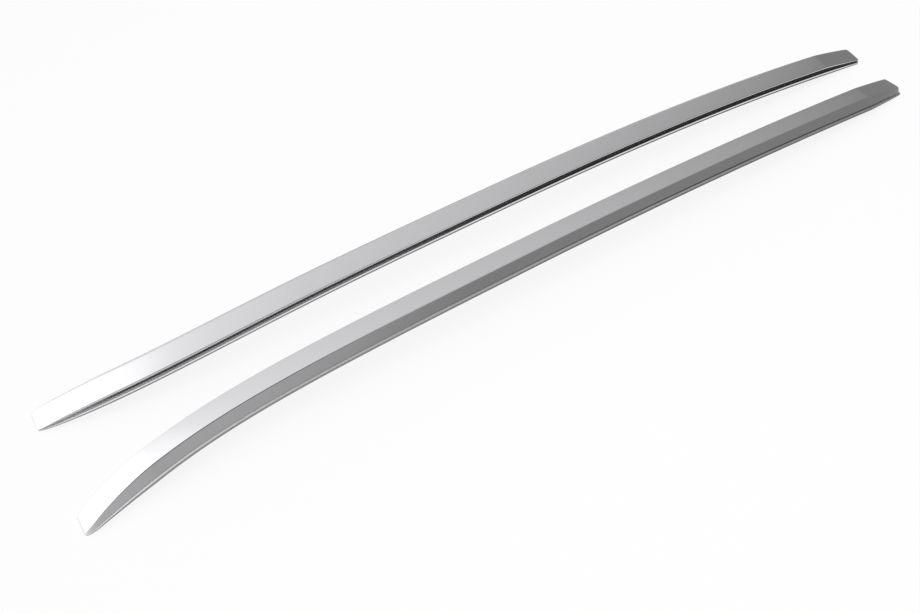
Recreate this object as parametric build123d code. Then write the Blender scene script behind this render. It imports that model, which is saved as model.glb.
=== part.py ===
from build123d import *
import os
from math import cos, pi, sqrt

# A pair of roof side rails, left and right, lying on their tips.
# X runs from the front tips (-X) to the rear tips (+X), Y across to the right rail, Z up.
# The right rail is built, and the left rail is its mirror image in the XZ plane.

# Bend of each rail, measured along its base
rail_length = 1800.0
crown_rise = 65.0
crown_ahead = 87.0
front_crown_power = 3.2
rear_crown_power = 2.2
half_spacing = 65.0
front_splay = 44.0
splay_start = 357.0
splay_power = 3.9
rear_toe_in = 8.6
toe_in_power = 2.8

# Outer section
top_width = 39.0
inboard_height = 18.0
outboard_height = 23.4
top_crown = 0.7
top_crown_radius = 180.0
outboard_flare = 13.0
inboard_lip = 7.5
outboard_lip = 6.0
inboard_ledge = 3.5
outboard_ledge = 3.7
groove_height = 8.0
groove_depth = 3.0
groove_radius = 0.6
edge_radius = 1.6
ledge_radius = 0.7
foot_radius = 0.4

# Noses: the section runs down to the tip, and its corners are round seen from above
front_nose_length = 132.0
front_nose_power = 1.55
front_tip_height = 2.2
front_corner_length = 24.0
front_inboard_corner = 3.0
front_outboard_corner = 6.0
rear_nose_length = 105.0
rear_nose_power = 1.12
rear_tip_height = 11.6
rear_corner_radius = 4.0

# Sections that each loft runs through
run_sections = 15
nose_sections = 8
corner_sections = 6
pocket_sections = 6
spans_per_pitch = 3

# Inside of the extrusion
wall = 2.6
seal_recess = 3.0
web = 2.5
slot_offset = 6.0
slot_mouth = 9.0
rib = 2.0
rib_lip = 2.4
web_front_end = 112.0
web_rear_end = 100.0
pocket_front_end = 22.0
pocket_rear_end = 9.0
pocket_overlap = 4.0

# Fixings: a slot nut in the channel and a bearing ring under the web
fixing_count = 5
front_fixing_inset = 108.0
rear_fixing_inset = 120.0
nut_length = 24.0
nut_width = 17.0
nut_thickness = 6.0
nut_chamfer = 0.8
thread_core = 5.0
pad_diameter = 22.0
pad_bore = 8.0

# Fits
nut_clearance = 0.25
nut_seat_gap = 0.1
pad_clearance = 0.4
seal_clearance = 0.3
seat_gap = 0.1
foot_clearance = 0.4

# Worked out from the sizes above
front_tip = -rail_length / 2
rear_tip = rail_length / 2
crown_x = -crown_ahead
splay_x = -splay_start
channel_width = nut_width + 2 * nut_clearance
channel_height = nut_thickness + nut_seat_gap + nut_clearance
web_top = seal_recess + web
web_front_x = front_tip + web_front_end
web_rear_x = rear_tip - web_rear_end
pocket_front_x = front_tip + pocket_front_end
pocket_rear_x = rear_tip - pocket_rear_end
first_fixing_x = web_front_x + front_fixing_inset
last_fixing_x = web_rear_x - rear_fixing_inset
below = -2 * inboard_lip


def base_height(x):
    """Height of the rail's base above the ground at x: crowned, and steeper towards the front."""
    ahead = max(crown_x - x, 0.0) / (crown_x - front_tip)
    behind = max(x - crown_x, 0.0) / (rear_tip - crown_x)
    return crown_rise * (1 - ahead**front_crown_power - behind**rear_crown_power)


def base_side(x):
    """Distance of the middle of the top face from the XZ plane at x: splayed in front, toed in behind."""
    ahead = max(splay_x - x, 0.0) / (splay_x - front_tip)
    behind = max(x, 0.0) / rear_tip
    return half_spacing + front_splay * ahead**splay_power - rear_toe_in * behind**toe_in_power


def round_end(along, power):
    """Share reached by a rounded end, from 0 at its tip to 1 where it runs out."""
    return (1 - (1 - min(max(along, 0.0), 1.0)) ** power) ** (1 / power)


def nose_share(x):
    """Share of the full height that is left at x."""
    front_share = front_tip_height / outboard_height
    rear_share = rear_tip_height / outboard_height
    front = round_end((x - front_tip) / front_nose_length, front_nose_power)
    rear = round_end((rear_tip - x) / rear_nose_length, rear_nose_power)
    return (front_share + (1 - front_share) * front) * (rear_share + (1 - rear_share) * rear)


def half_widths(x):
    """Inboard and outboard half of the top face at x, less what the round corners of a tip take."""
    front = 1 - round_end((x - front_tip) / front_corner_length, 2.0)
    rear = rear_corner_radius * (1 - round_end((rear_tip - x) / rear_corner_radius, 2.0))
    inboard = top_width / 2 - front_inboard_corner * front - rear
    outboard = top_width / 2 - front_outboard_corner * front - rear
    return inboard, outboard


def section_plane(x):
    """Plane across the rail at x, with its first direction along Y and its second along Z."""
    return Plane(origin=(x, base_side(x), base_height(x)), x_dir=(0, 1, 0), z_dir=(1, 0, 0))


def outer_section(x):
    """Outline of the extrusion at x, the inboard side first, with rounded corners."""
    share = nose_share(x)
    inboard, outboard = half_widths(x)
    flank = outboard + outboard_flare * share
    near_lip = inboard_lip * share
    far_lip = outboard_lip * share
    inboard_foot = -inboard - inboard_ledge * share
    groove_floor = -inboard + groove_depth * share
    groove_top = near_lip + groove_height * share
    outboard_foot = flank + outboard_ledge * share
    middle = (outboard - inboard) / 2
    inboard_top = inboard_height * share
    outboard_top = outboard_height * share
    crown = (inboard_top + outboard_top) / 2 + top_crown * share
    corners = [
        (inboard_foot, 0, foot_radius),
        (inboard_foot, near_lip, ledge_radius),
        (groove_floor, near_lip, groove_radius),
        (groove_floor, groove_top, groove_radius),
        (-inboard, groove_top, groove_radius),
        (-inboard, inboard_top, edge_radius),
        (middle, crown, top_crown_radius),
        (outboard, outboard_top, edge_radius),
        (flank, far_lip, ledge_radius),
        (outboard_foot, far_lip, ledge_radius),
        (outboard_foot, 0, foot_radius),
    ]
    return section_plane(x) * make_face(rounded_outline(corners, share))


def rounded_outline(corners, share):
    """Closed outline round corners given as (across, up, radius), with each radius cut to its share."""
    points = [corner[:2] for corner in corners]
    radii = [corner[2] * share for corner in corners]
    return FilletPolyline(*points, radius=radii, close=True).edges()


def plain_section(x, points):
    """Face across the rail at x with straight sides."""
    return section_plane(x) * make_face(Polyline(*points, close=True))


def stations(start, end, count):
    """Evenly spaced places from start to end, both included."""
    return [start + (end - start) * i / (count - 1) for i in range(count)]


def corner_stations(tip, end):
    """Places from a tip to the end of its round corner, close together at the tip."""
    turns = [i / (corner_sections - 1) * pi / 2 for i in range(corner_sections)]
    return [tip + (end - tip) * (1 - cos(turn)) for turn in turns]


def fixing_places():
    """Places of the fixings along the rail."""
    return stations(first_fixing_x, last_fixing_x, fixing_count)


def web_stations(end_gap):
    """Places along the web, each fixing among them, with a gap left at both of its ends."""
    spans = (fixing_count - 1) * spans_per_pitch
    between = stations(first_fixing_x, last_fixing_x, spans + 1)
    return [web_front_x + end_gap] + between + [web_rear_x - end_gap]


def outer_body():
    """Outside of the extrusion: the long run, the two noses and their round tips, each its own loft."""
    front_corner = front_tip + front_corner_length
    front_end = front_tip + front_nose_length
    rear_end = rear_tip - rear_nose_length
    rear_corner = rear_tip - rear_corner_radius
    runs = [
        corner_stations(front_tip, front_corner),
        stations(front_corner, front_end, nose_sections),
        stations(front_end, rear_end, run_sections),
        stations(rear_end, rear_corner, nose_sections),
        corner_stations(rear_tip, rear_corner),
    ]
    body = loft([outer_section(x) for x in runs[0]])
    for run in runs[1:]:
        body += loft([outer_section(x) for x in run])
    return body


def chamber():
    """Hollow inside the extrusion, with the two hooked ribs of the nut channel on its floor."""
    inboard = -top_width / 2 + groove_depth + wall
    slope = outboard_flare / (outboard_height - outboard_lip)
    side = wall * sqrt(1 + slope**2)
    outboard_low = top_width / 2 + outboard_flare - side + slope * (outboard_lip - web_top)
    inboard_top = inboard_height - wall
    outboard_top = outboard_height - 2 * wall
    outboard_high = outboard_low - slope * (outboard_top - web_top)
    near = slot_offset - channel_width / 2
    far = slot_offset + channel_width / 2
    hook = web_top + channel_height
    rib_top = hook + rib
    points = [
        (inboard, web_top),
        (near - rib, web_top),
        (near - rib, rib_top),
        (near + rib_lip, rib_top),
        (near + rib_lip, hook),
        (near, hook),
        (near, web_top),
        (far, web_top),
        (far, hook),
        (far - rib_lip, hook),
        (far - rib_lip, rib_top),
        (far + rib, rib_top),
        (far + rib, web_top),
        (outboard_low, web_top),
        (outboard_high, outboard_top),
        (inboard, inboard_top),
    ]
    return loft([plain_section(x, points) for x in web_stations(0)])


def slot():
    """Mouth of the nut channel, down through the web."""
    inner = web_top + nut_clearance
    points = [
        (slot_offset - slot_mouth / 2, below),
        (slot_offset + slot_mouth / 2, below),
        (slot_offset + slot_mouth / 2, inner),
        (slot_offset - slot_mouth / 2, inner),
    ]
    return loft([plain_section(x, points) for x in web_stations(0)])


def recess_section(x, inset, low, high):
    """Section of the space between the two lips at x, made smaller by inset on each side."""
    inboard = -top_width / 2 - inboard_ledge + wall + inset
    outboard = top_width / 2 + outboard_flare + outboard_ledge - wall - inset
    return plain_section(x, [(inboard, low), (outboard, low), (outboard, high), (inboard, high)])


def recess():
    """Shallow recess between the lips, where the seal lies."""
    return loft([recess_section(x, 0, below, seal_recess) for x in web_stations(0)])


def nose_pocket(deep_x, tip_x):
    """Hollow under a nose, open below, which leaves the top wall and the sides one wall thick."""
    sections = []
    for x in stations(deep_x, tip_x, pocket_sections):
        share = nose_share(x)
        inboard, outboard = half_widths(x)
        near = -inboard + wall + groove_depth * share
        far = outboard - wall
        flank = far + max(outboard_flare * share - wall, 0.0)
        points = [
            (near, below),
            (flank, below),
            (flank, outboard_lip * share - wall / 2),
            (far, outboard_height * share - wall),
            (near, inboard_height * share - wall),
        ]
        sections.append(plain_section(x, points))
    return loft(sections)


def rail():
    """One rail: a bent aluminium extrusion with a nut channel, hollow noses and a recess for the seal."""
    front_pocket = nose_pocket(web_front_x + pocket_overlap, pocket_front_x)
    rear_pocket = nose_pocket(web_rear_x - pocket_overlap, pocket_rear_x)
    return outer_body() - chamber() - slot() - recess() - front_pocket - rear_pocket


def fixing_plane(x, up):
    """Plane square to the base under a fixing, at a height above the base measured in the section."""
    step = 1.0
    run = 2 * step
    rise = (base_height(x + step) - base_height(x - step)) / run
    drift = (base_side(x + step) - base_side(x - step)) / run
    origin = (x, base_side(x) + slot_offset, base_height(x) + up)
    return Plane(origin=origin, x_dir=(1, drift, rise), z_dir=(-rise, 0, 1))


def slot_nut(x):
    """Steel nut that slides in the channel, with an M6 thread cut to its core size."""
    block = Box(nut_length, nut_width, nut_thickness, align=(Align.CENTER, Align.CENTER, Align.MIN))
    block = chamfer(block.edges().group_by(Axis.Z)[-1], nut_chamfer)
    core = Cylinder(thread_core / 2, nut_thickness, align=(Align.CENTER, Align.CENTER, Align.MIN))
    return fixing_plane(x, web_top + nut_seat_gap) * (block - core)


def bearing_pad(x):
    """Plastic ring between the web and the roof, which takes the load of one fixing."""
    height = seal_recess - seat_gap - foot_clearance
    ring = Cylinder(pad_diameter / 2, height, align=(Align.CENTER, Align.CENTER, Align.MAX))
    bore = Cylinder(pad_bore / 2, height, align=(Align.CENTER, Align.CENTER, Align.MAX))
    return fixing_plane(x, seal_recess - seat_gap) * (ring - bore)


def base_seal():
    """Rubber strip in the recess, with a round hole for the bearing ring at each fixing."""
    top = seal_recess - seat_gap
    places = web_stations(seal_clearance)
    strip = loft([recess_section(x, seal_clearance, foot_clearance, top) for x in places])
    for x in fixing_places():
        hole = Cylinder(pad_diameter / 2 + pad_clearance, 4 * seal_recess)
        strip -= fixing_plane(x, seal_recess / 2) * hole
    return strip


def write(name, piece):
    """Write the right-hand piece, and its mirror image as the left-hand one."""
    export_step(piece, f"parts/right_{name}.step")
    export_step(mirror(piece, about=Plane.XZ), f"parts/left_{name}.step")


os.makedirs("parts", exist_ok=True)
write("rail", rail())
write("base_seal", base_seal())
write("slot_nuts", Compound(children=[slot_nut(x) for x in fixing_places()]))
for number, place in enumerate(fixing_places(), start=1):
    write(f"bearing_pad_{number}", bearing_pad(place))
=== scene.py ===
import logging
import math
from collections.abc import Callable
from dataclasses import dataclass, field
from enum import Enum

import bmesh
import bpy
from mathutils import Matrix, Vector


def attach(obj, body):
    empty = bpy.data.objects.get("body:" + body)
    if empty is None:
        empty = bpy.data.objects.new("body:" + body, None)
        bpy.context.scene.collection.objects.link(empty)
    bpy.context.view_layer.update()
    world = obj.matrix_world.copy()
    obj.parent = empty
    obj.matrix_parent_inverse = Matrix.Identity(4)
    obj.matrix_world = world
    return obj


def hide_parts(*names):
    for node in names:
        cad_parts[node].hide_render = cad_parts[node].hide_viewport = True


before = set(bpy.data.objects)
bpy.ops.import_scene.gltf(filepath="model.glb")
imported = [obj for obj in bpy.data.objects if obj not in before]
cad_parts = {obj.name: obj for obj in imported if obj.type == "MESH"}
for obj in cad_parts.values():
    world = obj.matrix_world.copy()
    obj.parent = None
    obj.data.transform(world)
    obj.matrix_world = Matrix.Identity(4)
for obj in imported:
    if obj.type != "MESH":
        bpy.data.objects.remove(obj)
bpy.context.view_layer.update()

LOG = logging.getLogger("roof_rails")
MM = 0.001

Colour = tuple[float, float, float]
Corner = tuple[float, float, float]
Place = Callable[[float, float, float], Vector]


class Side(Enum):
    """The side of the roof that a rail is for."""

    LEFT = "left"
    RIGHT = "right"

    def sign(self) -> float:
        """Direction of outboard along Y."""
        return 1.0 if self is Side.RIGHT else -1.0

    def name_of(self, piece: str) -> str:
        """Name of a piece on this side."""
        return f"{self.value}_{piece}"


class Zone(Enum):
    """Part of a rail's surface with a finish or painted shade of its own, in the order of its material
    slots: LIP, GROOVE, GROOVE_TOP and FOOT carry painted shade.
    """

    POLISHED = 0
    LEDGE = 1
    LIP = 2
    GROOVE = 3
    GROOVE_TOP = 4
    FOOT = 5


# Shader helpers


def add_node(tree: bpy.types.NodeTree, kind: str, **values: object) -> bpy.types.Node:
    """Add a shader node and set its options and unlinked inputs.

    Args:
        tree: Node tree that takes the node.
        kind: Blender's type name of the node.
        values: Options of the node, or inputs by name with spaces as underscores.

    Returns:
        The new node.
    """
    node = tree.nodes.new(kind)
    inputs = {socket.name.replace(" ", "_"): socket for socket in node.inputs}
    for key, value in values.items():
        if hasattr(node, key):
            setattr(node, key, value)
        else:
            inputs[key].default_value = value
    return node


def new_group(
    name: str,
    inputs: dict[str, float],
    outputs: list[str],
) -> tuple[bpy.types.NodeTree, bpy.types.Node, bpy.types.Node]:
    """Start a shader node group with a vector input, values and value outputs.

    Args:
        name: Name of the group.
        inputs: Value inputs with their defaults.
        outputs: Names of the value outputs.

    Returns:
        The group's node tree, its input node and its output node.
    """
    group = bpy.data.node_groups.new(name, "ShaderNodeTree")
    group.interface.new_socket("Vector", in_out="INPUT", socket_type="NodeSocketVector")
    for label, value in inputs.items():
        socket = group.interface.new_socket(label, in_out="INPUT", socket_type="NodeSocketFloat")
        socket.default_value = value
    for label in outputs:
        group.interface.new_socket(label, in_out="OUTPUT", socket_type="NodeSocketFloat")
    source = group.nodes.new("NodeGroupInput")
    sink = group.nodes.new("NodeGroupOutput")
    return group, source, sink


def remap(
    tree: bpy.types.NodeTree,
    value: bpy.types.NodeSocket,
    before: tuple[float, float],
    after: tuple[float, float],
    interpolation: str = "LINEAR",
) -> bpy.types.NodeSocket:
    """Turn a value in one range into a value in another, held at both ends.

    Args:
        tree: Node tree that takes the node.
        value: Socket that puts out the value.
        before: Range that the value comes in.
        after: Range that it is turned into.
        interpolation: Blender's name of the way between the ends.

    Returns:
        The socket with the new value.
    """
    node = add_node(tree, "ShaderNodeMapRange", interpolation_type=interpolation)
    for label, limit in zip(("From Min", "From Max", "To Min", "To Max"), (*before, *after)):
        node.inputs[label].default_value = limit
    tree.links.new(value, node.inputs["Value"])
    return node.outputs["Result"]


@dataclass
class SurfaceEffects:
    """Shader groups that the finishes share, each built once."""

    grain: bpy.types.NodeTree = field(init=False)
    marks: bpy.types.NodeTree = field(init=False)
    stipple: bpy.types.NodeTree = field(init=False)

    def __post_init__(self) -> None:
        """Build the groups."""
        self.grain = self.drawn_grain()
        self.marks = self.handling_marks()
        self.stipple = self.moulded_stipple()

    def drawn_grain(self) -> bpy.types.NodeTree:
        """Fine lines along X that drawing and polishing leave on metal.

        Returns:
            A group that puts out Lines, from 0 to 1.
        """
        group, source, sink = new_group("drawn_grain", {"Along": 3.0, "Across": 900.0}, ["Lines"])
        stretch = add_node(group, "ShaderNodeCombineXYZ")
        scale = add_node(group, "ShaderNodeVectorMath", operation="MULTIPLY")
        noise = add_node(group, "ShaderNodeTexNoise", Scale=1.0, Detail=4.0, Roughness=0.6)
        middle_half = (0.25, 0.75)
        link = group.links.new
        link(source.outputs["Along"], stretch.inputs["X"])
        link(source.outputs["Across"], stretch.inputs["Y"])
        link(source.outputs["Across"], stretch.inputs["Z"])
        link(source.outputs["Vector"], scale.inputs[0])
        link(stretch.outputs["Vector"], scale.inputs[1])
        link(scale.outputs["Vector"], noise.inputs["Vector"])
        link(remap(group, noise.outputs["Fac"], middle_half, (0.0, 1.0)), sink.inputs["Lines"])
        return group

    def handling_marks(self) -> bpy.types.NodeTree:
        """Faint cloudy marks that wiping and handling leave.

        Returns:
            A group that puts out Marks, from 0 on clean metal to 1 on a mark.
        """
        group, source, sink = new_group("handling_marks", {"Size": 9.0, "Cover": 0.5}, ["Marks"])
        broad = add_node(group, "ShaderNodeTexNoise", Detail=5.0, Roughness=0.55, Distortion=0.4)
        top = add_node(group, "ShaderNodeMath", operation="ADD")
        soft_edge = 0.25
        top.inputs[1].default_value = soft_edge
        spread = add_node(group, "ShaderNodeMapRange", interpolation_type="SMOOTHSTEP")
        link = group.links.new
        link(source.outputs["Vector"], broad.inputs["Vector"])
        link(source.outputs["Size"], broad.inputs["Scale"])
        link(source.outputs["Cover"], top.inputs[0])
        link(broad.outputs["Fac"], spread.inputs["Value"])
        link(source.outputs["Cover"], spread.inputs["From Min"])
        link(top.outputs["Value"], spread.inputs["From Max"])
        link(spread.outputs["Result"], sink.inputs["Marks"])
        return group

    def moulded_stipple(self) -> bpy.types.NodeTree:
        """Fine stipple of a moulded or extruded surface.

        Returns:
            A group that puts out Height and Tone, both from 0 to 1.
        """
        group, source, sink = new_group("moulded_stipple", {"Size": 1800.0}, ["Height", "Tone"])
        pits = add_node(group, "ShaderNodeTexVoronoi")
        cloud = add_node(group, "ShaderNodeTexNoise", Scale=45.0, Detail=3.0)
        link = group.links.new
        link(source.outputs["Vector"], pits.inputs["Vector"])
        link(source.outputs["Size"], pits.inputs["Scale"])
        link(source.outputs["Vector"], cloud.inputs["Vector"])
        link(pits.outputs["Distance"], sink.inputs["Height"])
        link(cloud.outputs["Fac"], sink.inputs["Tone"])
        return group


def new_material(name: str) -> tuple[bpy.types.Material, bpy.types.NodeTree, bpy.types.Node]:
    """Start a material with one Principled shader.

    Args:
        name: Name of the material.

    Returns:
        The material, its node tree and its Principled shader node.
    """
    material = bpy.data.materials.new(name)
    material.use_nodes = True
    tree = material.node_tree
    shader = next(node for node in tree.nodes if node.bl_idname == "ShaderNodeBsdfPrincipled")
    return material, tree, shader


def place_group(tree: bpy.types.NodeTree, group: bpy.types.NodeTree, **values: float) -> bpy.types.Node:
    """Place a shared group in a material, on the piece's Object coordinates.

    Args:
        tree: Node tree of the material.
        group: The shared group.
        values: Values of the group's inputs.

    Returns:
        The group node.
    """
    node = add_node(tree, "ShaderNodeGroup", node_tree=group)
    for label, value in values.items():
        node.inputs[label].default_value = value
    coordinates = add_node(tree, "ShaderNodeTexCoord")
    tree.links.new(coordinates.outputs["Object"], node.inputs["Vector"])
    return node


def vary(
    tree: bpy.types.NodeTree,
    factor: bpy.types.NodeSocket,
    low: float,
    high: float,
) -> bpy.types.NodeSocket:
    """Spread a factor from 0 to 1 between two values.

    Args:
        tree: Node tree of the material.
        factor: Socket that puts out the factor.
        low: Value at 0.
        high: Value at 1.

    Returns:
        The socket with the value.
    """
    return remap(tree, factor, (0.0, 1.0), (low, high))


def tint(
    tree: bpy.types.NodeTree,
    factor: bpy.types.NodeSocket,
    low: Colour | bpy.types.NodeSocket,
    high: Colour | bpy.types.NodeSocket,
) -> bpy.types.NodeSocket:
    """Blend between two colours.

    Args:
        tree: Node tree of the material.
        factor: Socket that puts out the blend, from 0 to 1.
        low: Colour at 0, or the socket that puts it out.
        high: Colour at 1, or the socket that puts it out.

    Returns:
        The socket with the colour.
    """
    node = add_node(tree, "ShaderNodeMix", data_type="RGBA")
    ends = [socket for socket in node.inputs if socket.type == "RGBA"]
    for end, colour in zip(ends, (low, high)):
        if isinstance(colour, bpy.types.NodeSocket):
            tree.links.new(colour, end)
        else:
            end.default_value = (*colour, 1.0)
    tree.links.new(factor, node.inputs[0])
    return next(socket for socket in node.outputs if socket.type == "RGBA")


def along_rail(
    tree: bpy.types.NodeTree,
    start: float,
    end: float,
    low: float,
    high: float,
) -> bpy.types.NodeSocket:
    """Run smoothly from one value to another between two places along X.

    Args:
        tree: Node tree of the material.
        start: Place along X that still has the first value, in metres.
        end: Place along X from which the second value holds.
        low: First value.
        high: Second value.

    Returns:
        The socket with the value.
    """
    place = add_node(tree, "ShaderNodeTexCoord")
    split = add_node(tree, "ShaderNodeSeparateXYZ")
    tree.links.new(place.outputs["Object"], split.inputs["Vector"])
    return remap(tree, split.outputs["X"], (start, end), (low, high), "SMOOTHSTEP")


def raise_surface(
    tree: bpy.types.NodeTree,
    height: bpy.types.NodeSocket,
    strength: float,
    depth: float,
) -> bpy.types.NodeSocket:
    """Turn a height from 0 to 1 into a bumped normal.

    Args:
        tree: Node tree of the material.
        height: Socket that puts out the height.
        strength: Share of the bump that shows.
        depth: Depth of the bump in metres.

    Returns:
        The socket with the normal.
    """
    bump = add_node(tree, "ShaderNodeBump", Strength=strength, Distance=depth)
    tree.links.new(height, bump.inputs["Height"])
    return bump.outputs["Normal"]


def feed(
    tree: bpy.types.NodeTree,
    shader: bpy.types.Node,
    sources: dict[str, bpy.types.NodeSocket],
) -> None:
    """Lead sockets into a shader's inputs.

    Args:
        tree: Node tree that holds the shader.
        shader: Shader node that is fed.
        sources: The socket for each input, by the input's name.
    """
    for label, source in sources.items():
        tree.links.new(source, shader.inputs[label])


# Finishes


@dataclass(frozen=True)
class PolishedAluminium:
    """Bright polished and anodised aluminium with the faint lines of its extrusion."""

    clean: Colour = (0.775, 0.775, 0.79)
    dull: Colour = (0.735, 0.738, 0.752)
    polish: float = 0.085
    haze: float = 0.17
    line_share: float = 0.45
    mark_share: float = 0.55
    line_strength: float = 0.05
    line_depth: float = 0.04 * MM

    def material(self, effects: SurfaceEffects) -> bpy.types.Material:
        """Build the material.

        Args:
            effects: Shared shader groups.

        Returns:
            The material.
        """
        material, tree, shader = new_material("polished_aluminium")
        lines = place_group(tree, effects.grain, Along=2.5, Across=850.0).outputs["Lines"]
        marks = place_group(tree, effects.marks, Size=11.0, Cover=0.48).outputs["Marks"]
        blend = add_node(tree, "ShaderNodeMath", operation="MULTIPLY_ADD", use_clamp=True)
        blend.inputs[1].default_value = self.line_share
        tree.links.new(lines, blend.inputs[0])
        tree.links.new(vary(tree, marks, 0.0, self.mark_share), blend.inputs[2])
        dullness = blend.outputs["Value"]
        sources = {
            "Base Color": tint(tree, dullness, self.clean, self.dull),
            "Roughness": vary(tree, dullness, self.polish, self.haze),
            "Normal": raise_surface(tree, lines, self.line_strength, self.line_depth),
        }
        feed(tree, shader, sources)
        shader.inputs["Metallic"].default_value = 1.0
        return material


@dataclass(frozen=True)
class SatinAndShadedAluminium:
    """Duller anodised aluminium with the lines of its extrusion; its darkening towards the rear, if so
    given, is painted shade, as is a dark copy of it.
    """

    name: str
    light: Colour
    grey: Colour
    rear_share: float = 1.0
    shaded_from: float = -700 * MM
    shaded_by: float = 500 * MM
    sheen: float = 0.26
    haze: float = 0.4
    line_strength: float = 0.2
    line_depth: float = 0.05 * MM

    def material(self, effects: SurfaceEffects) -> bpy.types.Material:
        """Build the material.

        Args:
            effects: Shared shader groups.

        Returns:
            The material.
        """
        material, tree, shader = new_material(self.name)
        lines = place_group(tree, effects.grain, Along=4.0, Across=1400.0).outputs["Lines"]
        # Painted shade: the colour is scaled from full at shaded_from down to rear_share at shaded_by and
        # behind.
        shaded = add_node(tree, "ShaderNodeVectorMath", operation="SCALE")
        share = along_rail(tree, self.shaded_from, self.shaded_by, 1.0, self.rear_share)
        tree.links.new(tint(tree, lines, self.light, self.grey), shaded.inputs["Vector"])
        tree.links.new(share, shaded.inputs["Scale"])
        sources = {
            "Base Color": shaded.outputs["Vector"],
            "Roughness": vary(tree, lines, self.sheen, self.haze),
            "Normal": raise_surface(tree, lines, self.line_strength, self.line_depth),
        }
        feed(tree, shader, sources)
        shader.inputs["Metallic"].default_value = 1.0
        return material


@dataclass(frozen=True)
class GroovePaintedShade:
    """Painted shade inside the inboard groove: near-black that stands in for the groove's shadow and dark
    reflections, and runs out to bare metal towards the front tips.
    """

    name: str
    bare_until: float
    shade_full_from: float
    deep: Colour = (0.024, 0.024, 0.025)
    grey: Colour = (0.042, 0.042, 0.044)
    metal: Colour = (0.74, 0.74, 0.75)
    metallic: float = 0.35
    sheen: float = 0.4
    haze: float = 0.55
    pit_strength: float = 0.2
    pit_depth: float = 0.06 * MM

    def material(self, effects: SurfaceEffects) -> bpy.types.Material:
        """Build the material.

        Args:
            effects: Shared shader groups.

        Returns:
            The material.
        """
        material, tree, shader = new_material(self.name)
        stipple = place_group(tree, effects.stipple, Size=1200.0)
        tone, pits = stipple.outputs["Tone"], stipple.outputs["Height"]
        # Painted shade: near-black tone in place of the groove's shadow.
        shade_tone = tint(tree, tone, self.deep, self.grey)
        # Share of bare metal, where the painted shade runs out towards the front tips.
        bare = along_rail(tree, self.bare_until, self.shade_full_from, 1.0, 0.0)
        sources = {
            "Base Color": tint(tree, bare, shade_tone, self.metal),
            "Metallic": vary(tree, bare, 0.0, self.metallic),
            "Roughness": vary(tree, tone, self.sheen, self.haze),
            "Normal": raise_surface(tree, pits, self.pit_strength, self.pit_depth),
        }
        feed(tree, shader, sources)
        return material


@dataclass(frozen=True)
class SealRubber:
    """Matte black extruded rubber with a light bloom."""

    deep: Colour = (0.022, 0.022, 0.024)
    bloom: Colour = (0.042, 0.042, 0.044)
    sheen: float = 0.62
    haze: float = 0.82
    pit_strength: float = 0.4
    pit_depth: float = 0.12 * MM
    shine: float = 0.35

    def material(self, effects: SurfaceEffects) -> bpy.types.Material:
        """Build the material.

        Args:
            effects: Shared shader groups.

        Returns:
            The material.
        """
        material, tree, shader = new_material("seal_rubber")
        stipple = place_group(tree, effects.stipple, Size=2200.0)
        tone, pits = stipple.outputs["Tone"], stipple.outputs["Height"]
        lines = place_group(tree, effects.grain, Along=6.0, Across=500.0).outputs["Lines"]
        sources = {
            "Base Color": tint(tree, tone, self.deep, self.bloom),
            "Roughness": vary(tree, lines, self.sheen, self.haze),
            "Normal": raise_surface(tree, pits, self.pit_strength, self.pit_depth),
        }
        feed(tree, shader, sources)
        shader.inputs["Specular IOR Level"].default_value = self.shine
        return material


@dataclass(frozen=True)
class PlatedSteel:
    """Zinc plated steel with a slightly clouded surface."""

    bright: Colour = (0.62, 0.63, 0.64)
    clouded: Colour = (0.5, 0.51, 0.5)
    sheen: float = 0.3
    haze: float = 0.48
    pit_strength: float = 0.15
    pit_depth: float = 0.05 * MM

    def material(self, effects: SurfaceEffects) -> bpy.types.Material:
        """Build the material.

        Args:
            effects: Shared shader groups.

        Returns:
            The material.
        """
        material, tree, shader = new_material("plated_steel")
        marks = place_group(tree, effects.marks, Size=240.0, Cover=0.42).outputs["Marks"]
        pits = place_group(tree, effects.stipple, Size=1500.0).outputs["Height"]
        sources = {
            "Base Color": tint(tree, marks, self.bright, self.clouded),
            "Roughness": vary(tree, marks, self.sheen, self.haze),
            "Normal": raise_surface(tree, pits, self.pit_strength, self.pit_depth),
        }
        feed(tree, shader, sources)
        shader.inputs["Metallic"].default_value = 1.0
        return material


@dataclass(frozen=True)
class RingPlastic:
    """Dark moulded plastic with a fine grain."""

    dark: Colour = (0.04, 0.04, 0.044)
    worn: Colour = (0.065, 0.065, 0.07)
    sheen: float = 0.42
    haze: float = 0.58
    pit_strength: float = 0.3
    pit_depth: float = 0.1 * MM

    def material(self, effects: SurfaceEffects) -> bpy.types.Material:
        """Build the material.

        Args:
            effects: Shared shader groups.

        Returns:
            The material.
        """
        material, tree, shader = new_material("ring_plastic")
        stipple = place_group(tree, effects.stipple, Size=1600.0)
        tone, pits = stipple.outputs["Tone"], stipple.outputs["Height"]
        sources = {
            "Base Color": tint(tree, tone, self.dark, self.worn),
            "Roughness": vary(tree, tone, self.sheen, self.haze),
            "Normal": raise_surface(tree, pits, self.pit_strength, self.pit_depth),
        }
        feed(tree, shader, sources)
        return material


# Form of a rail


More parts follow.
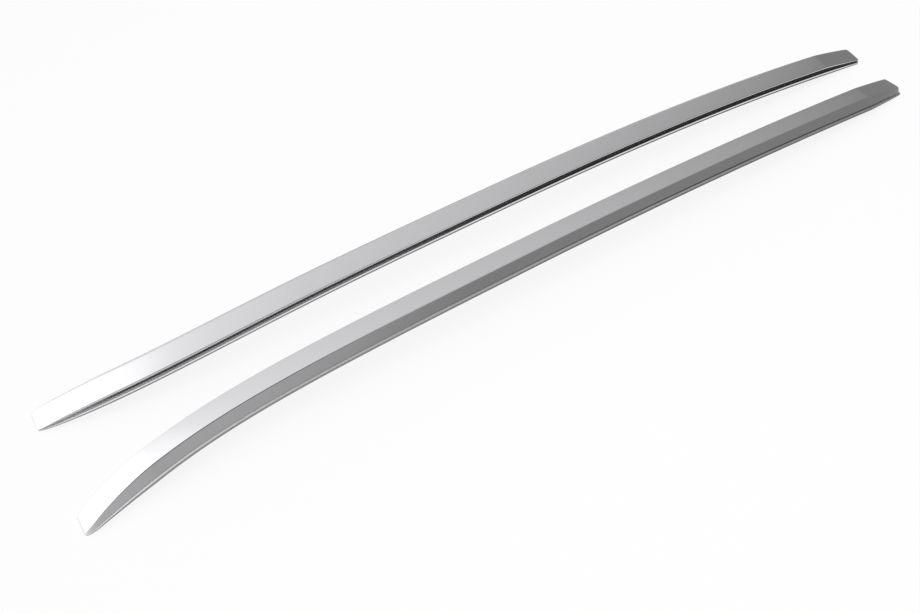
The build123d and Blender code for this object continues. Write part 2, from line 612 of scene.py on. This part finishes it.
@dataclass(frozen=True)
class RailForm:
    """Line and section of a rail: crowned, splayed at the front, with its noses run down to the tips."""

    length: float = 1800 * MM
    crown_rise: float = 65 * MM
    crown_ahead: float = 87 * MM
    front_crown_power: float = 3.2
    rear_crown_power: float = 2.2
    half_spacing: float = 65 * MM
    front_splay: float = 44 * MM
    splay_start: float = 357 * MM
    splay_power: float = 3.9
    rear_toe_in: float = 8.6 * MM
    toe_in_power: float = 2.8
    top_width: float = 39 * MM
    inboard_height: float = 18 * MM
    outboard_height: float = 23.4 * MM
    top_crown: float = 0.7 * MM
    outboard_flare: float = 13 * MM
    inboard_lip: float = 7.5 * MM
    outboard_lip: float = 6 * MM
    inboard_ledge: float = 3.5 * MM
    outboard_ledge: float = 3.7 * MM
    groove_height: float = 8 * MM
    groove_depth: float = 3 * MM
    groove_radius: float = 0.6 * MM
    inboard_edge_radius: float = 1.6 * MM
    outboard_edge_radius: float = 2.6 * MM
    ledge_radius: float = 0.7 * MM
    foot_radius: float = 0.4 * MM
    front_nose_length: float = 132 * MM
    front_nose_power: float = 1.55
    front_tip_height: float = 2.2 * MM
    front_corner_length: float = 24 * MM
    front_inboard_corner: float = 3 * MM
    front_outboard_corner: float = 6 * MM
    rear_nose_length: float = 105 * MM
    rear_nose_power: float = 1.12
    rear_tip_height: float = 11.6 * MM
    rear_corner_radius: float = 4 * MM
    wall: float = 2.6 * MM
    seal_recess: float = 3 * MM
    web: float = 2.5 * MM
    slot_offset: float = 6 * MM
    slot_mouth: float = 9 * MM
    channel_width: float = 17.5 * MM
    channel_height: float = 6.35 * MM
    rib: float = 2 * MM
    rib_lip: float = 2.4 * MM
    web_front_end: float = 112 * MM
    web_rear_end: float = 100 * MM
    pocket_front_end: float = 22 * MM
    pocket_overlap: float = 4 * MM
    fixing_pitch: float = 340 * MM
    fixing_count: int = 5
    corner_power: float = 2.0
    crown_cuts: int = 9
    turn_cuts: int = 12
    nose_step: float = 3 * MM
    run_step: float = 12 * MM

    @property
    def front_tip(self) -> float:
        """Place of the front tip along X."""
        return -self.length / 2

    @property
    def rear_tip(self) -> float:
        """Place of the rear tip along X."""
        return self.length / 2

    @property
    def half(self) -> float:
        """Half of the top face's width."""
        return self.top_width / 2

    @property
    def groove_top(self) -> float:
        """Height of the inboard groove's upper face above the base."""
        return self.inboard_lip + self.groove_height

    @property
    def groove_floor(self) -> float:
        """Distance of the inboard groove's floor from the top face's middle."""
        return -self.half + self.groove_depth

    @property
    def flare_slope(self) -> float:
        """Run outboard of the flared side for each unit that it drops."""
        return self.outboard_flare / (self.outboard_height - self.outboard_lip)

    @property
    def recess_inboard(self) -> float:
        """Distance of the recess's inboard wall from the top face's middle."""
        return -self.half - self.inboard_ledge + self.wall

    @property
    def recess_outboard(self) -> float:
        """Distance of the recess's outboard wall from the top face's middle."""
        return self.half + self.outboard_flare + self.outboard_ledge - self.wall

    @property
    def web_top(self) -> float:
        """Height of the web's upper face above the base."""
        return self.seal_recess + self.web

    @property
    def web_front(self) -> float:
        """Place along X where the web starts."""
        return self.front_tip + self.web_front_end

    @property
    def web_rear(self) -> float:
        """Place along X where the web stops."""
        return self.rear_tip - self.web_rear_end

    @staticmethod
    def round_end(along: float, power: float) -> float:
        """Share reached by a rounded end, from 0 at its tip to 1 where it runs out."""
        return (1 - (1 - min(max(along, 0.0), 1.0)) ** power) ** (1 / power)

    def base_height(self, x: float) -> float:
        """Height of the base above the ground.

        Args:
            x: Place along the rail.

        Returns:
            The height.
        """
        crown_x = -self.crown_ahead
        ahead = max(crown_x - x, 0.0) / (crown_x - self.front_tip)
        behind = max(x - crown_x, 0.0) / (self.rear_tip - crown_x)
        return self.crown_rise * (1 - ahead**self.front_crown_power - behind**self.rear_crown_power)

    def base_side(self, x: float) -> float:
        """Distance of the middle of the top face from the pair's middle plane.

        Args:
            x: Place along the rail.

        Returns:
            The distance, for the right rail.
        """
        splay_x = -self.splay_start
        ahead = max(splay_x - x, 0.0) / (splay_x - self.front_tip)
        behind = max(x, 0.0) / self.rear_tip
        splay = self.front_splay * ahead**self.splay_power
        return self.half_spacing + splay - self.rear_toe_in * behind**self.toe_in_power

    def nose_share(self, x: float) -> float:
        """Share of the full height that a nose leaves.

        Args:
            x: Place along the rail.

        Returns:
            The share, which is 1 between the noses.
        """
        front_share = self.front_tip_height / self.outboard_height
        rear_share = self.rear_tip_height / self.outboard_height
        front = self.round_end((x - self.front_tip) / self.front_nose_length, self.front_nose_power)
        rear = self.round_end((self.rear_tip - x) / self.rear_nose_length, self.rear_nose_power)
        return (front_share + (1 - front_share) * front) * (rear_share + (1 - rear_share) * rear)

    def half_widths(self, x: float) -> tuple[float, float]:
        """Halves of the top face, less what the round corners of a tip take.

        Args:
            x: Place along the rail.

        Returns:
            Width of the inboard half and of the outboard half.
        """
        front = 1 - self.round_end((x - self.front_tip) / self.front_corner_length, self.corner_power)
        rear = 1 - self.round_end((self.rear_tip - x) / self.rear_corner_radius, self.corner_power)
        kept = self.half - self.rear_corner_radius * rear
        return kept - self.front_inboard_corner * front, kept - self.front_outboard_corner * front

    def place_plain(self, x: float, across: float, up: float) -> Vector:
        """Point of the section at x, with no nose."""
        return Vector((x, self.base_side(x) + across, self.base_height(x) + up))

    def place_outer(self, x: float, across: float, up: float) -> Vector:
        """Point of the section at x, run down where the rail has its noses.

        Args:
            x: Place along the rail.
            across: Distance outboard of the top face's middle in the full section.
            up: Height above the base in the full section.

        Returns:
            The point in the row frame, for the right rail.
        """
        share = self.nose_share(x)
        inboard, outboard = self.half_widths(x)
        if across > self.half:
            reach = outboard + (across - self.half) * share
        elif across < 0 and up <= self.groove_top + self.groove_radius:
            reach = -inboard + (across + self.half) * share
        else:
            reach = (outboard - inboard) / 2 + across * (outboard + inboard) / self.top_width
        return self.place_plain(x, reach, up * share)

    def place_pocket(self, x: float, across: float, up: float) -> Vector:
        """Point of the front nose's hollow at x, one wall inside the outer face.

        Args:
            x: Place along the rail.
            across: Distance outboard of the top face's middle in the full section.
            up: Height above the base in the full section, or below 0 for the open side.

        Returns:
            The point in the row frame, for the right rail.
        """
        share = self.nose_share(x)
        inboard, outboard = self.half_widths(x)
        if across < 0:
            reach = -inboard + self.wall + self.groove_depth * share
        else:
            flare = max(self.outboard_flare * share - self.wall, 0.0)
            past = max(across - self.half + self.wall, 0.0) / (self.outboard_flare - self.wall)
            reach = outboard - self.wall + past * flare
        height = up if up < 0 else (up + self.wall) * share - self.wall
        return self.place_plain(x, reach, height)

    def crown_points(self) -> list[Corner]:
        """Points across the top face between its edges, on its shallow crown.

        Returns:
            The points as corners with no rounding, from inboard to outboard.
        """
        points = []
        for i in range(1, self.crown_cuts + 1):
            share = i / (self.crown_cuts + 1)
            across = self.top_width * (share - 0.5)
            level = self.inboard_height + (self.outboard_height - self.inboard_height) * share
            points.append((across, level + self.top_crown * 4 * share * (1 - share), 0.0))
        return points

    @staticmethod
    def along(start: float, end: float, step: float) -> list[float]:
        """Evenly spaced places from start to end, about a step apart."""
        count = max(round(abs(end - start) / step), 1)
        return [start + (end - start) * i / count for i in range(count + 1)]

    def all_along(self) -> list[float]:
        """Places from tip to tip, closer together where the tips and noses turn.

        Returns:
            Places along X, each once.
        """
        turn = [1 - math.cos(i / self.turn_cuts * math.pi / 2) for i in range(self.turn_cuts + 1)]
        front = [self.front_tip + self.front_corner_length * step for step in turn]
        front += self.along(front[-1], self.front_tip + self.front_nose_length, self.nose_step)[1:]
        rear = [self.rear_tip - self.rear_corner_radius * step for step in turn]
        rear += self.along(rear[-1], self.rear_tip - self.rear_nose_length, self.nose_step)[1:]
        run = self.along(front[-1], rear[-1], self.run_step)[1:-1]
        return front + run + rear[::-1]


@dataclass
class BentProfile:
    """A profile drawn in the rail's section, pulled along the rail and bent to its line."""

    corners: list[Corner]
    places: list[float]
    place: Place
    zone_at: Callable[[float, float], Zone] | None = None
    round_cuts: int = 5

    def mesh(self, side: Side) -> bmesh.types.BMesh:
        """Pull and bend the profile.

        Args:
            side: Side of the roof, which the right-hand shape is turned to.

        Returns:
            A closed mesh with its faces outwards.
        """
        shape = bmesh.new()
        self.draw(shape)
        self.pull(shape)
        if self.zone_at:
            for face in shape.faces:
                middle = face.calc_center_median()
                face.material_index = self.zone_at(middle.y, middle.z).value
        for vert in shape.verts:
            bent = self.place(vert.co.x, vert.co.y, vert.co.z)
            vert.co = (bent.x, bent.y * side.sign(), bent.z)
        bmesh.ops.recalc_face_normals(shape, faces=shape.faces)
        if shape.calc_volume(signed=True) < 0:
            bmesh.ops.reverse_faces(shape, faces=shape.faces)
        return shape

    def draw(self, shape: bmesh.types.BMesh) -> None:
        """Draw the profile at its first place and round its corners.

        Args:
            shape: Empty mesh that takes the profile.
        """
        ring = [shape.verts.new((self.places[0], across, up)) for across, up, _ in self.corners]
        shape.faces.new(ring)
        for i, vert in enumerate(ring):
            setback = self.setback(i)
            if setback > 0:
                bmesh.ops.bevel(
                    shape,
                    geom=[vert],
                    offset=setback,
                    offset_type="OFFSET",
                    segments=self.round_cuts,
                    profile=0.5,
                    affect="VERTICES",
                    material=-1,
                )

    def pull(self, shape: bmesh.types.BMesh) -> None:
        """Pull the profile straight along X from place to place and close its far end.

        Args:
            shape: Mesh that holds the profile.
        """
        edges = list(shape.edges)
        for here, there in zip(self.places, self.places[1:]):
            pulled = bmesh.ops.extrude_edge_only(shape, edges=edges)["geom"]
            fresh = [item for item in pulled if isinstance(item, bmesh.types.BMVert)]
            pulled_edges = [item for item in pulled if isinstance(item, bmesh.types.BMEdge)]
            far_ring = set(fresh)
            edges = [edge for edge in pulled_edges if far_ring.issuperset(edge.verts)]
            bmesh.ops.translate(shape, verts=fresh, vec=(there - here, 0.0, 0.0))
        bmesh.ops.holes_fill(shape, edges=edges, sides=0)

    def setback(self, index: int) -> float:
        """Distance from a corner to where its rounding starts.

        Args:
            index: Number of the corner.

        Returns:
            The distance along both edges, or 0 for a sharp corner.
        """
        across, up, radius = self.corners[index]
        if radius <= 0:
            return 0.0
        before = self.corners[index - 1]
        after = self.corners[(index + 1) % len(self.corners)]
        first = Vector((before[0] - across, before[1] - up))
        second = Vector((after[0] - across, after[1] - up))
        return radius / math.tan(first.angle(second) / 2)


def new_piece(name: str, shape: bmesh.types.BMesh, *finishes: bpy.types.Material) -> bpy.types.Object:
    """Make an object of a mesh, at the origin.

    Args:
        name: Name of the piece.
        shape: Its mesh, which is freed.
        finishes: Its materials, in the order of its slots.

    Returns:
        The object, in the scene.
    """
    mesh = bpy.data.meshes.new(name)
    shape.to_mesh(mesh)
    shape.free()
    for finish in finishes:
        mesh.materials.append(finish)
    piece = bpy.data.objects.new(name, mesh)
    bpy.context.scene.collection.objects.link(piece)
    return piece


def cut_out(piece: bpy.types.Object, cutters: list[bmesh.types.BMesh], finish: bpy.types.Material) -> None:
    """Cut shapes out of a piece, for good.

    Args:
        piece: Piece that is cut.
        cutters: Closed meshes to take away, which are freed.
        finish: Material of the cut faces.
    """
    tools = []
    for shape in cutters:
        tool = new_piece("cutter", shape, finish)
        cut = piece.modifiers.new("cut", "BOOLEAN")
        cut.operation = "DIFFERENCE"
        cut.solver = "EXACT"
        cut.material_mode = "TRANSFER"
        cut.object = tool
        tools.append(tool)
    bpy.context.view_layer.update()
    whole = piece.evaluated_get(bpy.context.evaluated_depsgraph_get())
    mesh = bpy.data.meshes.new_from_object(whole)
    piece.modifiers.clear()
    plain, piece.data = piece.data, mesh
    mesh.name = piece.name
    bpy.data.meshes.remove(plain)
    for tool in tools:
        spare = tool.data
        bpy.data.objects.remove(tool)
        bpy.data.meshes.remove(spare)


def smooth_faces(piece: bpy.types.Object, crease: float = 32.0, flat_share: int = 60) -> None:
    """Shade a piece smoothly up to a crease angle, with flat faces kept flat.

    Args:
        piece: The piece.
        crease: Angle in degrees past which an edge stays sharp.
        flat_share: Weight of the large faces, in percent.
    """
    piece.data.shade_smooth()
    piece.data.set_sharp_from_angle(angle=math.radians(crease))
    weigh = piece.modifiers.new("even_shading", "WEIGHTED_NORMAL")
    weigh.keep_sharp = True
    weigh.weight = flat_share


@dataclass
class Rail:
    """One rail: a bent extrusion with formed noses, a nut channel and a seal recess underneath."""

    side: Side
    form: RailForm
    finishes: dict[Zone, bpy.types.Material]
    # Heights that split the painted shade: the inboard lip is shaded below bright_lip, the flared side for
    # dark_foot above its ledge, and the groove in two bands at groove_strip.
    bright_lip: float = 3.5 * MM
    dark_foot: float = 2 * MM
    groove_strip: float = 2.4 * MM
    zone_slack: float = 0.1 * MM
    below: float = -15 * MM
    channel_step: float = 24 * MM
    pocket_step: float = 6 * MM

    def build(self) -> bpy.types.Object:
        """Build the rail in place of its solid.

        Returns:
            The finished piece.
        """
        name = self.side.name_of("rail_body")
        piece = new_piece(name, self.outside(), *(self.finishes[zone] for zone in Zone))
        cut_out(piece, [self.channel(), self.front_pocket()], self.finishes[Zone.LEDGE])
        smooth_faces(piece)
        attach(piece, "root")
        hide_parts(self.side.name_of("rail"))
        return piece

    def outside(self) -> bmesh.types.BMesh:
        """Outer shape of the rail, with each face in its zone.

        Returns:
            A closed mesh.
        """
        form = self.form
        inboard_foot = -form.half - form.inboard_ledge
        outboard_low = form.half + form.outboard_flare
        outboard_foot = outboard_low + form.outboard_ledge
        foot_back = self.dark_foot * form.flare_slope
        # The sharp corners at bright_lip, groove_strip and dark_foot sit on straight edges and only split
        # faces for the painted-shade zones.
        corners = [
            (inboard_foot, 0.0, form.foot_radius),
            (inboard_foot, form.inboard_lip - self.bright_lip, 0.0),
            (inboard_foot, form.inboard_lip, form.ledge_radius),
            (form.groove_floor, form.inboard_lip, form.groove_radius),
            (form.groove_floor, form.inboard_lip + self.groove_strip, 0.0),
            (form.groove_floor, form.groove_top, form.groove_radius),
            (-form.half, form.groove_top, form.groove_radius),
            (-form.half, form.inboard_height, form.inboard_edge_radius),
            *form.crown_points(),
            (form.half, form.outboard_height, form.outboard_edge_radius),
            (outboard_low - foot_back, form.outboard_lip + self.dark_foot, 0.0),
            (outboard_low, form.outboard_lip, form.ledge_radius),
            (outboard_foot, form.outboard_lip, form.ledge_radius),
            (outboard_foot, 0.0, form.foot_radius),
        ]
        return BentProfile(corners, form.all_along(), form.place_outer, self.zone_at).mesh(self.side)

    def zone_at(self, across: float, up: float) -> Zone:
        """Zone of a face of the outside by its place in the section.

        Args:
            across: Distance outboard of the top face's middle.
            up: Height above the base.

        Returns:
            The zone that the face belongs to.
        """
        form = self.form
        slack = self.zone_slack
        # LIP, FOOT, GROOVE and GROOVE_TOP faces get painted shade; the others get the polished and satin
        # finishes.
        if across < 0 and up <= form.inboard_lip + slack:
            return Zone.LIP if up <= form.inboard_lip - self.bright_lip else Zone.POLISHED
        if across >= 0 and up <= form.outboard_lip + slack:
            return Zone.LIP if up <= form.outboard_lip - form.ledge_radius else Zone.LEDGE
        if across >= form.half and up <= form.outboard_lip + self.dark_foot:
            return Zone.FOOT
        if across < 0 and across > -form.half + form.groove_radius and up <= form.groove_top + slack:
            return Zone.GROOVE if up <= form.inboard_lip + self.groove_strip else Zone.GROOVE_TOP
        return Zone.POLISHED

    def channel(self) -> bmesh.types.BMesh:
        """Hollow of the extrusion: recess, slot, and chamber round the hooked ribs of the nut channel.

        Returns:
            A closed mesh to cut away.
        """
        form = self.form
        inboard = form.groove_floor + form.wall
        slope = form.flare_slope
        side_wall = form.wall * math.sqrt(1 + slope**2)
        outboard_face = form.half + form.outboard_flare + slope * (form.outboard_lip - form.web_top)
        outboard_low = outboard_face - side_wall
        outboard_top = form.outboard_height - 2 * form.wall
        near = form.slot_offset - form.channel_width / 2
        far = form.slot_offset + form.channel_width / 2
        hook = form.web_top + form.channel_height
        rib_top = hook + form.rib
        mouth_in = form.slot_offset - form.slot_mouth / 2
        mouth_out = form.slot_offset + form.slot_mouth / 2
        points = [
            (form.recess_inboard, self.below),
            (form.recess_outboard, self.below),
            (form.recess_outboard, form.seal_recess),
            (mouth_out, form.seal_recess),
            (mouth_out, form.web_top),
            (far, form.web_top),
            (far, hook),
            (far - form.rib_lip, hook),
            (far - form.rib_lip, rib_top),
            (far + form.rib, rib_top),
            (far + form.rib, form.web_top),
            (outboard_low, form.web_top),
            (outboard_low - slope * (outboard_top - form.web_top), outboard_top),
            (inboard, form.inboard_height - form.wall),
            (inboard, form.web_top),
            (near - form.rib, form.web_top),
            (near - form.rib, rib_top),
            (near + form.rib_lip, rib_top),
            (near + form.rib_lip, hook),
            (near, hook),
            (near, form.web_top),
            (mouth_in, form.web_top),
            (mouth_in, form.seal_recess),
            (form.recess_inboard, form.seal_recess),
        ]
        corners = [(across, up, 0.0) for across, up in points]
        places = form.along(form.web_front, form.web_rear, self.channel_step)
        return BentProfile(corners, places, form.place_plain).mesh(self.side)

    def front_pocket(self) -> bmesh.types.BMesh:
        """Hollow under the front nose, open below.

        Returns:
            A closed mesh to cut away.
        """
        form = self.form
        inner = form.half - form.wall
        low = inner + form.outboard_flare - form.wall
        corners = [
            (-inner, self.below, 0.0),
            (low, self.below, 0.0),
            (low, form.outboard_lip - form.wall / 2, 0.0),
            (inner, form.outboard_height - form.wall, 0.0),
            (-inner, form.inboard_height - form.wall, 0.0),
        ]
        tip_end = form.front_tip + form.pocket_front_end
        places = form.along(tip_end, form.web_front + form.pocket_overlap, self.pocket_step)
        return BentProfile(corners, places, form.place_pocket).mesh(self.side)


@dataclass
class BaseSeal:
    """Ribbed rubber strip in the recess under a rail, with a round hole at each fixing."""

    side: Side
    form: RailForm
    finish: bpy.types.Material
    side_gap: float = 0.3 * MM
    foot_gap: float = 0.4 * MM
    seat_gap: float = 0.1 * MM
    groove_count: int = 4
    groove_depth: float = 0.9 * MM
    groove_lead: float = 0.25
    strip_step: float = 16 * MM
    hole_radius: float = 11.4 * MM
    hole_sides: int = 64
    plug_depth: float = 12 * MM

    def build(self) -> bpy.types.Object:
        """Build the strip in place of its solid.

        Returns:
            The finished piece.
        """
        piece = new_piece(self.side.name_of("seal_strip"), self.strip(), self.finish)
        form = self.form
        first = -form.fixing_pitch * (form.fixing_count - 1) / 2
        holes = [self.hole(first + form.fixing_pitch * i) for i in range(form.fixing_count)]
        cut_out(piece, holes, self.finish)
        smooth_faces(piece)
        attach(piece, "root")
        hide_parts(self.side.name_of("base_seal"))
        return piece

    def strip(self) -> bmesh.types.BMesh:
        """Strip with grooves along its underside.

        Returns:
            A closed mesh.
        """
        form = self.form
        inboard = form.recess_inboard + self.side_gap
        outboard = form.recess_outboard - self.side_gap
        top = form.seal_recess - self.seat_gap
        groove_top = self.foot_gap + self.groove_depth
        points = [(inboard, top), (inboard, self.foot_gap)]
        pitch = (outboard - inboard) / (2 * self.groove_count + 1)
        lead = self.groove_lead * pitch
        for i in range(self.groove_count):
            near = inboard + (2 * i + 1) * pitch
            far = near + pitch
            points += [(near, self.foot_gap), (near + lead, groove_top)]
            points += [(far - lead, groove_top), (far, self.foot_gap)]
        points += [(outboard, self.foot_gap), (outboard, top)]
        corners = [(across, up, 0.0) for across, up in points]
        ends = self.side_gap
        places = form.along(form.web_front + ends, form.web_rear - ends, self.strip_step)
        return BentProfile(corners, places, form.place_plain).mesh(self.side)

    def hole(self, x: float) -> bmesh.types.BMesh:
        """Plug of one fixing's hole, square to the base.

        Args:
            x: Place of the fixing along the rail.

        Returns:
            A closed mesh to cut away.
        """
        form = self.form
        step = 1 * MM
        rise = (form.base_height(x + step) - form.base_height(x - step)) / (2 * step)
        middle = form.place_plain(x, form.slot_offset, form.seal_recess / 2)
        middle.y *= self.side.sign()
        turn = Vector((-rise, 0.0, 1.0)).to_track_quat("Z", "Y").to_matrix().to_4x4()
        turn.translation = middle
        shape = bmesh.new()
        bmesh.ops.create_cone(
            shape,
            cap_ends=True,
            segments=self.hole_sides,
            radius1=self.hole_radius,
            radius2=self.hole_radius,
            depth=self.plug_depth,
            matrix=turn,
        )
        return shape


@dataclass
class Fixings:
    """Slot nuts and bearing rings of one rail, which keep their solids."""

    side: Side
    form: RailForm
    steel: bpy.types.Material
    plastic: bpy.types.Material

    def dress(self) -> list[str]:
        """Give each solid its finish.

        Returns:
            Names of the dressed nodes.
        """
        nuts = self.side.name_of("slot_nuts")
        rings = [self.side.name_of(f"bearing_pad_{i + 1}") for i in range(self.form.fixing_count)]
        self.coat(nuts, self.steel)
        for ring in rings:
            self.coat(ring, self.plastic)
        return [nuts, *rings]

    @staticmethod
    def coat(node: str, finish: bpy.types.Material) -> None:
        """Put a finish on a node's solid.

        Args:
            node: Name of the node.
            finish: Its material.
        """
        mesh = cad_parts[node].data
        mesh.materials.clear()
        mesh.materials.append(finish)


# Studio


def direction(heading: float, height: float) -> Vector:
    """Unit vector with a heading from +X towards +Y and an angle above level, both in degrees."""
    turn, rise = math.radians(heading), math.radians(height)
    return Vector((math.cos(rise) * math.cos(turn), math.cos(rise) * math.sin(turn), math.sin(rise)))


@dataclass(frozen=True)
class Shade:
    """Dark patch of the surround, which draws a thin line along the rounded edges of bright metal."""

    heading: float
    height: float
    reach: tuple[float, float]
    level: float = 0.12


@dataclass
class Studio:
    """White floor, soft light and the camera."""

    floor_half: float = 8.0
    floor_colour: Colour = (0.9, 0.9, 0.9)
    floor_white: float = 0.87
    light_heading: float = 160.0
    light_height: float = 25.0
    sky_steps: tuple[tuple[float, float], ...] = (
        (-1.0, 0.22),
        (-0.62, 0.25),
        (-0.45, 0.25),
        (-0.3, 0.38),
        (0.0, 0.56),
        (0.3, 0.74),
        (0.54, 0.9),
        (0.63, 1.02),
        (0.69, 1.25),
        (0.78, 1.4),
        (1.0, 1.45),
    )
    shades: tuple[Shade, ...] = (Shade(-112.0, 62.0, (0.85, 0.95)), Shade(-155.0, 40.0, (0.9, 0.97)))
    lamp_size: tuple[float, float] = (2.4, 1.6)
    lamp_place: tuple[float, float, float] = (-0.1, -0.5, 2.6)
    lamp_energy: float = 34.0
    sensor_width: float = 36.0
    image_width: float = 920.0
    focal_pixels: float = 1026.6
    camera_target: tuple[float, float, float] = (-188.1 * MM, -61.1 * MM, 0.0)
    camera_distance: float = 1816.3 * MM
    camera_heading: float = 57.38
    camera_pitch: float = 52.07

    def build(self) -> None:
        """Build the floor, the light and the camera."""
        self.floor()
        self.sky()
        self.lamp()
        self.camera()

    def floor(self) -> None:
        """Flat floor that the camera and reflections see as nearly white, with the shadow kept."""
        shape = bmesh.new()
        bmesh.ops.create_grid(shape, x_segments=1, y_segments=1, size=self.floor_half)
        material = bpy.data.materials.new("studio_floor")
        material.use_nodes = True
        tree = material.node_tree
        tree.nodes.clear()
        output = add_node(tree, "ShaderNodeOutputMaterial")
        paint = add_node(tree, "ShaderNodeBsdfDiffuse", Color=(*self.floor_colour, 1.0))
        glow = add_node(tree, "ShaderNodeEmission", Color=(1.0, 1.0, 1.0, 1.0), Strength=1.0)
        path = add_node(tree, "ShaderNodeLightPath")
        seen = add_node(tree, "ShaderNodeMath", operation="MAXIMUM")
        through = add_node(tree, "ShaderNodeMath", operation="MAXIMUM")
        share = add_node(tree, "ShaderNodeMath", operation="MULTIPLY")
        share.inputs[1].default_value = self.floor_white
        mix = add_node(tree, "ShaderNodeMixShader")
        link = tree.links.new
        link(path.outputs["Is Camera Ray"], seen.inputs[0])
        link(path.outputs["Is Glossy Ray"], seen.inputs[1])
        link(seen.outputs["Value"], through.inputs[0])
        link(path.outputs["Is Transmission Ray"], through.inputs[1])
        link(through.outputs["Value"], share.inputs[0])
        link(share.outputs["Value"], mix.inputs["Fac"])
        link(paint.outputs["BSDF"], mix.inputs[1])
        link(glow.outputs["Emission"], mix.inputs[2])
        link(mix.outputs["Shader"], output.inputs["Surface"])
        piece = new_piece("studio_floor", shape, material)

    def sky(self) -> None:
        """Soft surround, brightest behind the front tips and grey elsewhere, with its dark patches."""
        world = bpy.data.worlds.new("studio_surround")
        bpy.context.scene.world = world
        world.use_nodes = True
        tree = world.node_tree
        tree.nodes.clear()
        output = add_node(tree, "ShaderNodeOutputWorld")
        ground = add_node(tree, "ShaderNodeBackground")
        seen = add_node(tree, "ShaderNodeTexCoord").outputs["Generated"]
        feed(tree, ground, {"Color": self.sky_tone(tree, seen), "Strength": self.sky_strength(tree, seen)})
        tree.links.new(ground.outputs["Background"], output.inputs["Surface"])

    @staticmethod
    def facing(
        tree: bpy.types.NodeTree,
        seen: bpy.types.NodeSocket,
        heading: float,
        height: float,
    ) -> bpy.types.NodeSocket:
        """Cosine of the angle between the direction seen and a fixed one.

        Args:
            tree: Node tree of the surround.
            seen: Socket that puts out the direction seen.
            heading: Heading of the fixed direction in degrees.
            height: Its angle above level in degrees.

        Returns:
            The socket with the cosine.
        """
        node = add_node(tree, "ShaderNodeVectorMath", operation="DOT_PRODUCT")
        node.inputs[1].default_value = direction(heading, height)
        tree.links.new(seen, node.inputs[0])
        return node.outputs["Value"]

    def sky_tone(self, tree: bpy.types.NodeTree, seen: bpy.types.NodeSocket) -> bpy.types.NodeSocket:
        """Grey of the surround, by the angle to its brightest side.

        Args:
            tree: Node tree of the surround.
            seen: Socket that puts out the direction seen.

        Returns:
            The socket with the grey.
        """
        cosine = self.facing(tree, seen, self.light_heading, self.light_height)
        ramp = add_node(tree, "ShaderNodeValToRGB")
        points = ramp.color_ramp.elements
        while len(points) > 1:
            points.remove(points[-1])
        for i, (facing_value, level) in enumerate(self.sky_steps):
            position = (facing_value + 1) / 2
            point = points.new(position) if i else points[0]
            point.position = position
            point.color = (level, level, level, 1.0)
        tree.links.new(remap(tree, cosine, (-1.0, 1.0), (0.0, 1.0)), ramp.inputs["Fac"])
        return ramp.outputs["Color"]

    def sky_strength(self, tree: bpy.types.NodeTree, seen: bpy.types.NodeSocket) -> bpy.types.NodeSocket:
        """Strength of the surround, which is full outside its dark patches.

        Args:
            tree: Node tree of the surround.
            seen: Socket that puts out the direction seen.

        Returns:
            The socket with the strength.
        """
        levels = []
        for shade in self.shades:
            cosine = self.facing(tree, seen, shade.heading, shade.height)
            levels.append(remap(tree, cosine, shade.reach, (1.0, shade.level), "SMOOTHSTEP"))
        strength = levels[0]
        for level in levels[1:]:
            both = add_node(tree, "ShaderNodeMath", operation="MULTIPLY")
            tree.links.new(strength, both.inputs[0])
            tree.links.new(level, both.inputs[1])
            strength = both.outputs["Value"]
        return strength

    def lamp(self) -> None:
        """One broad lamp overhead, which lights the floor and stays out of reflections."""
        light = bpy.data.lights.new("overhead", "AREA")
        light.shape = "RECTANGLE"
        light.size, light.size_y = self.lamp_size
        light.energy = self.lamp_energy
        holder = bpy.data.objects.new("overhead", light)
        holder.location = self.lamp_place
        holder.visible_glossy = False
        bpy.context.scene.collection.objects.link(holder)

    def camera(self) -> None:
        """Camera at the picture's angle."""
        view = bpy.data.cameras.new("camera")
        view.sensor_width = self.sensor_width
        view.lens = self.focal_pixels / self.image_width * self.sensor_width
        ahead = direction(self.camera_heading, -self.camera_pitch)
        holder = bpy.data.objects.new("camera", view)
        holder.location = Vector(self.camera_target) - ahead * self.camera_distance
        holder.rotation_euler = ahead.to_track_quat("-Z", "Y").to_euler()
        bpy.context.scene.collection.objects.link(holder)
        bpy.context.scene.camera = holder


def main() -> None:
    """Build the rails, dress their fixings and light the scene."""
    logging.basicConfig(level=logging.INFO, format="%(message)s")
    bpy.context.scene.view_settings.view_transform = "Standard"
    effects = SurfaceEffects()
    bright_satin = SatinAndShadedAluminium("bright_satin", (0.64, 0.64, 0.65), (0.56, 0.56, 0.57))
    # Painted shade: a dark copy of the satin on the lower lips, darker still towards the rear.
    grey_satin = SatinAndShadedAluminium("grey_satin", (0.28, 0.28, 0.285), (0.22, 0.22, 0.225), rear_share=0.36)
    # Painted shade: the flared side's foot above the ledge, dark towards the rear.
    foot_satin = SatinAndShadedAluminium("foot_satin", (0.74, 0.74, 0.75), (0.66, 0.66, 0.67), rear_share=0.22)
    looks = {
        Zone.POLISHED: PolishedAluminium(),
        Zone.LEDGE: bright_satin,
        Zone.LIP: grey_satin,
        # Painted shade: near-black in the groove, running out to bare metal towards the front.
        Zone.GROOVE: GroovePaintedShade("groove_black", bare_until=-870 * MM, shade_full_from=-740 * MM),
        Zone.GROOVE_TOP: GroovePaintedShade("groove_shade", bare_until=-650 * MM, shade_full_from=100 * MM),
        Zone.FOOT: foot_satin,
    }
    finishes = {zone: look.material(effects) for zone, look in looks.items()}
    rubber = SealRubber().material(effects)
    steel = PlatedSteel().material(effects)
    plastic = RingPlastic().material(effects)
    form = RailForm()
    for side in Side:
        for piece in (Rail(side, form, finishes).build(), BaseSeal(side, form, rubber).build()):
            LOG.info("%s: %d faces", piece.name, len(piece.data.polygons))
        for node in Fixings(side, form, steel, plastic).dress():
            LOG.info("%s: dressed", node)
    Studio().build()


if __name__ == "__main__":
    main()
